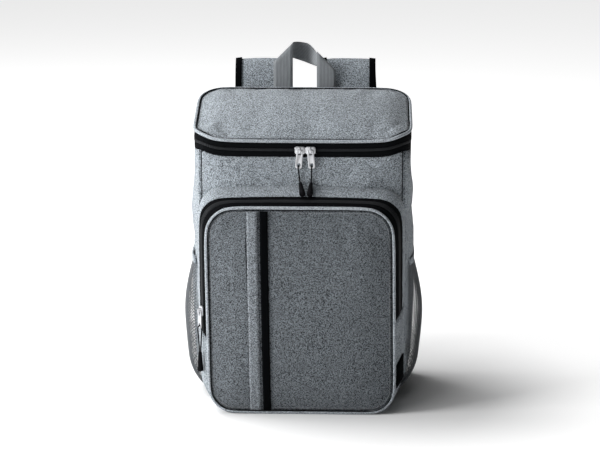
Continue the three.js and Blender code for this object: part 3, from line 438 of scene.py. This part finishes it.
heather = melange("melange_cloth", "heather", (0.062, 0.07, 0.078), (0.40, 0.445, 0.485))
# A lighter copy of the melange for the corded edges: partly the cord cloth's own lighter tone, partly painted
# highlight along the round cords.
edge_cloth = melange("corded_edge_cloth", "light_heather", (0.15, 0.166, 0.18), (0.43, 0.47, 0.51))


def settle(piece, pressure, cap, backed, slack=0.01, frames=20):
    """Fills a padded piece out by simulation: its sewn rims and the points that backed picks stay
    where they are, slack is how much longer the cloth is cut, and no point moves further than cap."""
    start = np.array([v.co for v in piece.data.vertices])
    sewn = piece.vertex_groups["sewn"]
    sewn.add([v.index for v in piece.data.vertices if backed(v)], 1, "REPLACE")
    cloth = piece.modifiers.new("padding", "CLOTH")
    options = cloth.settings
    options.quality = 5
    options.mass = 0.3
    options.tension_stiffness = 15
    options.compression_stiffness = 15
    options.shear_stiffness = 5
    options.bending_stiffness = 0.5
    options.air_damping = 2
    options.use_pressure = True
    options.uniform_pressure_force = pressure
    options.effector_weights.gravity = 0
    options.vertex_group_mass = "sewn"
    options.pin_stiffness = 1
    options.shrink_min = -slack
    cloth.collision_settings.use_collision = False
    cloth.point_cache.frame_start = 1
    cloth.point_cache.frame_end = frames
    scene = bpy.context.scene
    for k in range(1, frames + 1):
        scene.frame_set(k)
    seen = piece.evaluated_get(bpy.context.evaluated_depsgraph_get())
    moved = np.array([v.co for v in seen.data.vertices])
    step = moved - start
    size = np.linalg.norm(step, axis=1, keepdims=True)
    step *= np.minimum(1, cap / np.maximum(size, 1e-9))
    piece.modifiers.clear()
    settled = start + step
    settled[:, 2] = np.maximum(settled[:, 2], np.minimum(start[:, 2], 0.3 * mm))
    piece.data.vertices.foreach_set("co", settled.ravel())
    piece.data.update()
    scene.frame_set(1)
    return piece


def rim_loop(node, picks):
    """The outline of one skin of a CAD panel, in order round it; picks tells the skin's faces."""
    form = bmesh.new()
    form.from_mesh(nodes[node].data)
    bmesh.ops.remove_doubles(form, verts=form.verts, dist=0.02 * mm)
    bmesh.ops.recalc_face_normals(form, faces=form.faces)
    ahead = {}
    for edge in form.edges:
        sharp = len(edge.link_faces) == 2 and edge.calc_face_angle(0) > math.radians(35)
        if sharp and sum(picks(f.normal) for f in edge.link_faces) == 1:
            a, b = edge.verts
            ahead.setdefault(a, []).append(b)
            ahead.setdefault(b, []).append(a)
    start = next(iter(ahead))
    loop = [start]
    seen = {start}
    while True:
        onward = [v for v in ahead[loop[-1]] if v not in seen]
        if not onward:
            break
        loop.append(onward[0])
        seen.add(onward[0])
    places = [v.co.copy() for v in loop]
    form.free()
    return places


def evenly(loop, pitch):
    """Points at equal distances round a closed line, with the line's direction at each."""
    line = smooth_path([*loop, loop[0]], 3)
    total = path_length(line)
    count = round(total / pitch)
    out = []
    gone = 0.0
    for a, b in zip(line, line[1:]):
        span = (b - a).length
        while len(out) < count and (len(out) + 0.5) * total / count <= gone + span and span > 0:
            t = ((len(out) + 0.5) * total / count - gone) / span
            out.append((a.lerp(b, t), (b - a).normalized()))
        gone += span
    return out


def skin_of(piece):
    corners = [v.co for v in piece.data.vertices]
    return BVHTree.FromPolygons(corners, [p.vertices for p in piece.data.polygons])


def creased(piece, loop, depth, pitch=17 * mm, reach=20 * mm, dents=0.9 * mm, size=60 * mm):
    """Shallow dents all over, and small puckers that run in from the seam."""
    around = evenly(loop, 3 * mm)
    tree = KDTree(len(around))
    for k, (place, _) in enumerate(around):
        tree.insert(place, k)
    tree.balance()
    normals = [v.normal.copy() for v in piece.data.vertices]
    for v, normal in zip(piece.data.vertices, normals):
        place, k, far = tree.find(v.co)
        along = k * 3 * mm
        uneven = noise.noise(Vector((along / (40 * mm), 0, 7)))
        pucker = math.sin(2 * math.pi * along / pitch + 3 * uneven) * (0.6 + uneven) * math.exp(-far / reach)
        dent = noise.noise(v.co / size) + 0.4 * noise.noise(v.co / (0.37 * size))
        if normal.z > -0.5:
            v.co += normal * (pucker * depth + dent * dents) * min(1, far / (7 * mm))
    piece.data.update()


def stitched(name, loop, skin, inset, toward, finish, pitch=3.4 * mm, thread=0.27 * mm):
    """A row of stitches round a panel: inset from its rim towards a point, and down on its skin."""
    points = []
    faces = []
    for place, ahead in evenly(loop, pitch):
        inward = Vector(toward) - place
        inward -= inward.dot(ahead) * ahead
        spot, normal, _, _ = skin.find_nearest(place + inward.normalized() * inset)
        half = ahead * pitch * 0.33
        over = normal * thread
        flank = normal.cross(ahead).normalized() * thread
        base = len(points)
        for end, share in ((-1.25, 0.35), (-0.8, 1), (0.8, 1), (1.25, 0.35)):
            middle = spot + half * end + over * (0.5 * share)
            points += [middle + way * share for way in (flank, over, -flank, -over)]
        for k in range(3):
            a = base + 4 * k
            faces += [(a + m, a + (m + 1) % 4, a + 4 + (m + 1) % 4, a + 4 + m) for m in range(4)]
        faces += [(base + 3, base + 2, base + 1, base), (base + 12, base + 13, base + 14, base + 15)]
    return object_from(name, points, faces, finish)


def flange(name, loop, toward, outward, sink, radius, finish):
    """A thin black cord along a seam. Beside a corded edge it is the edge's black lip, which shows as a dark
    line beside the cord; on the body's front seam it draws the seam as a dark line.
    """
    curve = bpy.data.curves.new(name, "CURVE")
    curve.dimensions = "3D"
    curve.bevel_depth = radius
    curve.bevel_resolution = 2
    around = evenly(loop, 4 * mm)
    spline = curve.splines.new("POLY")
    spline.points.add(len(around) - 1)
    for target, (place, ahead) in zip(spline.points, around):
        inward = Vector(toward) - place
        inward -= inward.dot(ahead) * ahead
        target.co = (*(place - inward.normalized() * outward + Vector(sink)), 1)
    spline.use_cyclic_u = True
    made = bpy.data.objects.new(name, curve)
    bpy.context.scene.collection.objects.link(made)
    dress(made, finish)
    return made


front = refined("body_front_panel", "body_front_cloth", heather)
sides = refined("body_gusset", "body_side_cloth", heather)
back = refined("body_back_panel", "body_back_cloth", heather)
front_rim = rim_loop("body_front_panel", lambda n: n.y < -0.5)
settle(front, 5, 9 * mm, lambda v: v.normal.y > -0.2)
creased(front, front_rim, 0.7 * mm)
settle(sides, 3, 6 * mm, lambda v: v.normal.dot(Vector((v.co.x, 0, v.co.z - 0.17))) < 0)
creased(sides, front_rim, 0.8 * mm, dents=1.2 * mm)
grey_thread = Finish("grey_thread", "light_heather", roughness=0.7, sheen=0.2, specular=0.3)
point, (x, y, z) = grey_thread.place()
twist = (x + y + z).wave(0.7 * mm)
grey_thread.feed("Base Color", grey_thread.tint(twist, (0.16, 0.17, 0.18), (0.3, 0.31, 0.33)))
front_middle = Vector((0, front_rim[0].y, 0.17))
stitched("body_front_stitches", front_rim, skin_of(front), 3 * mm, front_middle, grey_thread)


# Lid: a padded panel of the same cloth with a corded edge all round, and a black zip with
# two sliders between it and the body.
def tucked_under(v):
    """The upper skin's rim goes down beside the corded edge."""
    outer = any(f.normal.z > 0.5 for f in v.link_faces)
    return Vector((0, 0, -2.4 * mm if outer else 0))


lid = refined("lid_panel", "lid_cloth", heather, tuck=tucked_under)
lid_rim = rim_loop("lid_panel", lambda n: n.z > 0.5)
lid_middle = sum(lid_rim, Vector()) / len(lid_rim)
settle(lid, 4, 8 * mm, lambda v: v.normal.z < 0.2)
creased(lid, lid_rim, 0.8 * mm, dents=1.3 * mm)
refined("lid_piping", "lid_corded_edge", edge_cloth, sharp=170, swell=0.35 * mm)
black_tape = Finish("black_tape", "black_webbing", roughness=0.9, specular=0.05)
point, (x, y, z) = black_tape.place()
fuzz = black_tape.grain(point, 0.8 * mm)
black_tape.feed("Base Color", black_tape.tint(fuzz, (0.004, 0.0045, 0.005), (0.012, 0.013, 0.015)))
lip_sink = (0, 0, -0.7 * mm)
flange("lid_corded_edge_lip", lid_rim, lid_middle, 0.2 * mm, lip_sink, 0.95 * mm, black_tape)
stitched("lid_stitches", lid_rim, skin_of(lid), 3.2 * mm, lid_middle, grey_thread)
# A thin black cord laid along the body's front seam draws the seam as a dark line.
flange("body_front_seam_dark_line", front_rim, front_middle, 0.4 * mm, (0, 0, 0), 0.55 * mm, black_tape)
zip_tape = Finish("zip_tape", "zip_tape", roughness=0.9, specular=0.04)
point, (x, y, z) = zip_tape.place()
ribs = (x + y).wave(0.8 * mm)
yarns = ribs * zip_tape.grain(point, 1.2 * mm)
zip_tape.feed("Base Color", zip_tape.tint(yarns, (0.001, 0.0012, 0.0015), (0.007, 0.008, 0.0095)))
zip_tape.relief(ribs, 0.1 * mm)
coil = Finish("zip_coil", "zip_teeth", roughness=0.6, specular=0.12)
point, (x, y, z) = coil.place()
fuzz = coil.grain(point, 1.0 * mm)
coil.feed("Base Color", coil.tint(fuzz, (0.003, 0.0034, 0.004), (0.012, 0.0135, 0.016)))
coil.relief((x + y).wave(1.4 * mm), 0.5 * mm)
for node in ("lid_zip_tape_lower", "lid_zip_tape_upper"):
    refined(node, node + "_woven", zip_tape)
refined("lid_zip_teeth", "lid_zip_coil", coil)


# Front pocket: a gusset of melange cloth, a zip over the top and down both sides, and a
# front panel with a corded edge.
def tucked_behind(v):
    """The front skin's rim goes back beside the corded edge."""
    outer = any(f.normal.y < -0.5 for f in v.link_faces)
    return Vector((0, 2.2 * mm if outer else 0, 0))


# The same melange as the body with its colours darkened: painted shade on the pocket's front panel.
pocket_shaded_cloth = melange("pocket_melange_cloth_painted_shade", "heather", (0.02, 0.022, 0.025), (0.185, 0.207, 0.228))
refined("pocket_gusset_upper", "pocket_gusset_upper_cloth", heather)
refined("pocket_gusset_lower", "pocket_gusset_lower_cloth", heather)
pocket_front = refined("pocket_front_panel", "pocket_front_cloth", pocket_shaded_cloth, tuck=tucked_behind)
pocket_rim = rim_loop("pocket_front_panel", lambda n: n.y < -0.5)
pocket_middle = sum(pocket_rim, Vector()) / len(pocket_rim)
pocket_cut = skin_of(pocket_front)
settle(pocket_front, 2, 5 * mm, lambda v: v.normal.y > -0.2)
creased(pocket_front, pocket_rim, 0.5 * mm, dents=0.8 * mm, size=75 * mm)
pocket_skin = skin_of(pocket_front)
lip_sink = (0, 0.6 * mm, 0)
flange("pocket_corded_edge_lip", pocket_rim, pocket_middle, 0.3 * mm, lip_sink, 0.95 * mm, black_tape)
stitched("pocket_stitches", pocket_rim, pocket_skin, 3.2 * mm, pocket_middle, grey_thread)
refined("pocket_piping", "pocket_corded_edge", edge_cloth, sharp=170, swell=0.35 * mm)
for node in ("pocket_zip_tape_rear", "pocket_zip_tape_front"):
    refined(node, node + "_woven", zip_tape)
refined("pocket_zip_teeth", "pocket_zip_coil", coil)


# Trims on the pocket: a strip of light cloth beside a black webbing band, and a folded
# black label in the side seam, which is left blank.
def laid_on(piece, before, after):
    """Moves the points of a trim as the panel under it has moved."""
    for v in piece.data.vertices:
        start = Vector((v.co.x, -1, v.co.z))
        was = before.ray_cast(start, Vector((0, 1, 0)))[0]
        now = after.ray_cast(start, Vector((0, 1, 0)))[0]
        if was and now:
            v.co.y += now.y - was.y
    piece.data.update()
    return piece


placket_cloth = melange("placket_melange_cloth", "light_heather", (0.05, 0.056, 0.062), (0.29, 0.32, 0.35))
placket = laid_on(refined("placket_strip", "placket_cloth", placket_cloth), pocket_cut, pocket_skin)
black_webbing = Finish("black_webbing", "black_webbing", roughness=0.9, specular=0.03)
point, (x, y, z) = black_webbing.place()
rows = z.wave(1.3 * mm) * (x + y).wave(1.0 * mm)
black_webbing.feed("Base Color", black_webbing.tint(rows, (0.0006, 0.0008, 0.001), (0.0035, 0.0042, 0.0055)))
black_webbing.relief(rows, 0.12 * mm)
# A black strip under the left edge of the light strip, widest about 215 mm up: painted shade for the dark
# opening beneath the fold.
forward = pocket_middle.y + 2 * mm
opening_edge = [v.co for v in placket.data.vertices if v.normal.x < -0.6 and v.co.y < forward]
opening_low = min(p.z for p in opening_edge)
opening_high = max(p.z for p in opening_edge)
points = []
faces = []
shade_strip_steps = 40
for k in range(shade_strip_steps + 1):
    z = opening_low + (opening_high - opening_low) * k / shade_strip_steps
    near = min(opening_edge, key=lambda p: abs(p.z - z))
    gape = (0.5 + 1.3 * math.exp(-((z - 0.215) / 0.028) ** 2)) * mm
    spot = pocket_skin.ray_cast(Vector((near.x - gape / 2, -1, z)), Vector((0, 1, 0)))[0]
    face = (spot.y if spot else near.y) - 0.35 * mm
    left = near.x - gape
    right = near.x + 0.4 * mm
    rear = face + 0.6 * mm
    points += [(left, face, z), (right, face, z), (right, rear, z), (left, rear, z)]
for k in range(shade_strip_steps):
    a = 4 * k
    faces += [(a + m, a + 4 + m, a + 4 + (m + 1) % 4, a + (m + 1) % 4) for m in range(4)]
end = 4 * shade_strip_steps
faces += [(0, 1, 2, 3), (end + 3, end + 2, end + 1, end)]
object_from("placket_opening_shade_strip", points, faces, black_tape)
laid_on(refined("webbing_band", "webbing_band_woven", black_webbing), pocket_cut, pocket_skin)
refined("seam_label", "seam_label_woven", black_webbing)


# Side pockets: knitted net of crossing threads, gathered into a folded cloth edge at the top and
# sewn into the seams of the sides and of the base.
for side in ("left", "right"):
    refined(f"mesh_binding_{side}", f"mesh_binding_{side}_cloth", heather)
net_thread = Finish("net_thread", "netting", roughness=0.8, sheen=0.1, specular=0.25)
point, (x, y, z) = net_thread.place()
fuzz = net_thread.grain(point, 1.0 * mm)
net_thread.feed("Base Color", net_thread.tint(fuzz, (0.07, 0.075, 0.08), (0.14, 0.15, 0.16)))
body_half = 140 * mm
body_depth = 150 * mm
front_round = 34 * mm
back_round = 12 * mm
low_round = 52 * mm
front_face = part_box("body_front_panel")[0].y
net_front = 22.6 * mm
net_back = 9 * mm
net_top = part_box("mesh_pocket_left")[1].z
net_bulge = 17 * mm
net_start = math.radians(22.5)  # where on the rounded base corner the net is sewn in
net_thread_radius = 0.4 * mm
net_columns = 54
net_rows = 84


def corner_inset(radius, distance):
    if distance >= radius:
        return 0.0
    return radius - math.sqrt(radius ** 2 - (radius - max(distance, 0)) ** 2)


def net_place(way, up, deep):
    """A point of the net: up from its foot to its bound edge, deep from front to back."""
    y = net_front + (body_depth - net_back - net_front) * deep
    half = body_half - corner_inset(front_round, y) - corner_inset(back_round, body_depth - y)
    low = 0.3 * (corner_inset(front_round, y) + corner_inset(back_round, body_depth - y))
    turn_share = 0.12 / 0.44
    if up < turn_share:
        turn = net_start + (math.pi / 2 - net_start) * up / turn_share
        x = half - low_round + low_round * math.sin(turn)
        z = low + low_round - low_round * math.cos(turn)
    else:
        turn = math.pi / 2
        x = half
        z = low + low_round + (net_top - low - low_round) * (up - turn_share) / (1 - turn_share)
    full = math.sin(math.pi * up * 0.955) ** 0.7 * math.sin(math.pi * min(max(deep, 0), 1)) ** 0.6
    loose = 1 + 0.05 * math.sin(up * 9 + deep * 4)
    out = 0.6 * mm + net_bulge * full * loose
    return Vector((way * (x + math.sin(turn) * out), front_face + y, z - math.cos(turn) * out))


def net_strands(way):
    """Two families of slanting threads that cross in diamonds."""
    points = []
    faces = []
    knots = {
        (i, j): net_place(way, i / net_rows, j / net_columns)
        for i in range(net_rows + 1) for j in range(net_columns + 1) if (i + j) % 2 == 0
    }
    starts = [(0, j) for j in range(0, net_columns + 1, 2)] + [(i, 0) for i in range(2, net_rows + 1, 2)]
    for slant in (1, -1):
        for i, j in starts:
            j = j if slant == 1 else net_columns - j
            line = []
            while (i, j) in knots:
                line.append(knots[i, j])
                i, j = i + 1, j + slant
            if len(line) < 2:
                continue
            base = len(points)
            for k, p in enumerate(line):
                ahead = line[min(k + 1, len(line) - 1)] - line[max(k - 1, 0)]
                outward = Vector((way, 0, -0.3)).normalized()
                flat = ahead.cross(outward).normalized() * net_thread_radius * 1.25
                over = flat.cross(ahead).normalized() * net_thread_radius * 0.8
                lift = over * (0.45 if (k % 2) == (slant > 0) else -0.45)
                points += [p + flat + lift, p + over + lift, p - flat + lift, p - over + lift]
            for k in range(len(line) - 1):
                a = base + 4 * k
                faces += [(a + m, a + (m + 1) % 4, a + 4 + (m + 1) % 4, a + 4 + m) for m in range(4)]
            faces.append((base + 3, base + 2, base + 1, base))
            end = base + 4 * (len(line) - 1)
            faces.append((end, end + 1, end + 2, end + 3))
    return points, faces


for side, way in (("left", -1), ("right", 1)):
    net = object_from(f"mesh_pocket_{side}_net", *net_strands(way), net_thread)
    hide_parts(f"mesh_pocket_{side}")


# Carry handle: one length of grey ribbed webbing, folded over at both upper corners and
# sewn to the back.
def ribbed(name, axis):
    """Webbing with fine ribs; axis gives how the width runs over x, y and z."""
    finish = Finish(name, "ribbed_webbing", roughness=0.8, sheen=0.2, specular=0.3)
    point, (x, y, z) = finish.place()
    across = x * axis[0] + y * axis[1] + z * axis[2]
    soft = finish.grain(finish.stretched(point, 1.0, 1.0, 0.15), 1.6 * mm)
    shade = across.wave(1.9 * mm) * 0.6 + soft * 0.4
    finish.feed("Base Color", finish.tint(shade, (0.085, 0.093, 0.10), (0.265, 0.282, 0.297)))
    finish.relief(across.wave(1.9 * mm), 0.25 * mm)
    return finish


def ribbon(rows, thickness, columns=6):
    """Points and faces of a strap: rows gives its two edges, and it is thick to both sides."""
    grid = [[a.lerp(b, k / columns) for k in range(columns + 1)] for a, b in rows]
    count = len(rows)
    wide = columns + 1
    skins = []
    for way in (0.5, -0.5):
        for i, row in enumerate(grid):
            for k, p in enumerate(row):
                along = grid[min(i + 1, count - 1)][k] - grid[max(i - 1, 0)][k]
                over = row[min(k + 1, columns)] - row[max(k - 1, 0)]
                rim = 0.45 if k in (0, columns) else 1
                skins.append(p + along.cross(over).normalized() * thickness * way * rim)
    layer = count * wide
    faces = []
    for i in range(count - 1):
        for k in range(columns):
            a = i * wide + k
            faces.append((a, a + 1, a + wide + 1, a + wide))
            faces.append((layer + a, layer + a + wide, layer + a + wide + 1, layer + a + 1))
        for k in (0, columns):
            a = i * wide + k
            side = (a, a + wide, layer + a + wide, layer + a)
            faces.append(side if k == 0 else side[::-1])
    for i in (0, count - 1):
        starts = [i * wide + k for k in range(columns)]
        ends = [(a, layer + a, layer + a + 1, a + 1) for a in starts]
        faces += ends if i == 0 else [e[::-1] for e in ends]
    return skins, faces


leg_webbing = ribbed("ribbed_webbing", (1, 0, 0))
crossing_webbing = ribbed("ribbed_webbing_crossing", (0.45, 0, 1))
webbing_thickness = 1.6 * mm
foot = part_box("carry_handle")[0].z
handle_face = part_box("carry_handle")[0].y + webbing_thickness / 2
points = []
faces = []
marks = []
# columns: outer edge and inner edge of a leg, height of its fold at either, in mm
for outer, inner, outer_fold, inner_fold in ((-42.5, -16.5, 427.2, 453.2), (41, 15.5, 416.5, 441.5)):
    rows = [
        (
            Vector((outer * mm, handle_face, foot + (outer_fold * mm - foot) * k / 10)),
            Vector((inner * mm, handle_face, foot + (inner_fold * mm - foot) * k / 10)),
        )
        for k in range(11)
    ]
    part_points, part_faces = ribbon(rows, webbing_thickness)
    faces += [tuple(i + len(points) for i in f) for f in part_faces]
    points += part_points
    marks += [0] * len(part_faces)
# columns: x, y and z of the lower and of the upper edge of the crossing, from fold to fold, in mm
crossing = [
    (-42, 83.4, 427.4, -16.4, 83.4, 453.0), (-30, 83.6, 431, -16, 83.6, 453.2),
    (-19.5, 84.4, 433.4, -16.2, 84.4, 453.4), (-17, 94, 431.2, -12.5, 95, 452.9),
    (-12, 101, 428.6, -6, 102, 451.6),
    (-3.4, 103, 425.5, 3.3, 104, 449.3), (6.1, 98, 422.7, 10.5, 99, 443.6), (12, 91, 421.6, 15.6, 91, 437.8),
    (17, 85, 421, 18.5, 85, 436), (28, 83.6, 419.6, 18, 83.6, 438), (40.4, 83.4, 416.8, 16, 83.4, 441.2),
]
low_edge = smooth_path([Vector(row[:3]) * mm for row in crossing], 4)
high_edge = smooth_path([Vector(row[3:]) * mm for row in crossing], 4)
part_points, part_faces = ribbon(list(zip(low_edge, high_edge)), webbing_thickness)
faces += [tuple(i + len(points) for i in f) for f in part_faces]
points += part_points
marks += [1] * len(part_faces)
handle = object_from("carry_handle_webbing", points, faces, leg_webbing)
handle.data.materials.append(crossing_webbing.material)
handle.data.polygons.foreach_set("material_index", marks)
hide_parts("carry_handle")


# Shoulder straps: padded melange cloth with black bindings, turned over at the top, and
# below them a loop, a buckle and a webbing tail.
for side in ("left", "right"):
    strap = refined(f"shoulder_strap_{side}", f"shoulder_strap_{side}_padded", heather)
    for v in strap.data.vertices:
        v.co += v.normal * 0.5 * mm * noise.noise(v.co / (30 * mm))
    for edge in ("outer", "inner"):
        refined(f"strap_binding_{edge}_{side}", f"strap_binding_{edge}_{side}_tape", black_webbing)
    refined(f"strap_loop_{side}", f"strap_loop_{side}_webbing", black_webbing)
    refined(f"strap_tail_{side}", f"strap_tail_{side}_webbing", black_webbing)
    bevelled(f"strap_buckle_{side}", f"strap_buckle_{side}_moulded", moulding, 0.6 * mm)


# Floor and light: a pale floor that glows more the further it is from the bag, soft lights from
# the left, the front left and behind on the left, a faint one above, and a dim sky.
def stage_plane(name, points, color):
    paint = Finish(name, "heather", roughness=0.9)
    paint.shader.inputs["Base Color"].default_value = (*color, 1)
    mesh = bpy.data.meshes.new(name)
    mesh.from_pydata(points, [], [tuple(range(len(points)))])
    made = bpy.data.objects.new(name, mesh)
    made.data.materials.append(paint.material)
    bpy.context.scene.collection.objects.link(made)
    return paint


reach = 12
corners = [(-reach, -reach, 0), (reach, -reach, 0), (reach, reach, 0), (-reach, reach, 0)]
floor = stage_plane("floor", corners, (0.93, 0.93, 0.93))
point, (x, y, z) = floor.place()
away = (x * x + y * y) ** 0.5
# The floor's glow is painted light: it whitens the floor and fades out the bag's shadow from about 0.14 m
# away.
glow = ((away - 0.14) * 4.0).clamped() * 0.35 + ((away - 0.25) * 0.9).clamped() * 0.65
floor.feed("Emission Color", floor.tint(glow, (0, 0, 0), (0.75, 0.75, 0.75)))
floor.shader.inputs["Emission Strength"].default_value = 1.0

# columns: name, place, size, watts
for name, place, size, watts in [
    ("light_left", (-1.1, -0.55, 0.6), 0.5, 15),
    ("light_front_left", (-1.6, -1.6, 1.4), 1.6, 16),
    ("light_back_left", (-1.2, 0.6, 2.2), 1.6, 60),
    ("light_top", (-0.2, -0.3, 2.6), 1.8, 6),
]:
    lamp = bpy.data.lights.new(name, "AREA")
    lamp.size = size
    lamp.energy = watts
    lamp_object = bpy.data.objects.new(name, lamp)
    lamp_object.location = place
    lamp_object.rotation_mode = "QUATERNION"
    lamp_object.rotation_quaternion = (Vector((0, 0, 0.22)) - Vector(place)).to_track_quat("-Z", "Y")
    bpy.context.scene.collection.objects.link(lamp_object)

world = bpy.data.worlds.new("sky")
world.use_nodes = True
world.node_tree.nodes["Background"].inputs["Color"].default_value = (1, 1, 1, 1)
world.node_tree.nodes["Background"].inputs["Strength"].default_value = 0.04
bpy.context.scene.world = world
bpy.context.scene.view_settings.view_transform = "Standard"
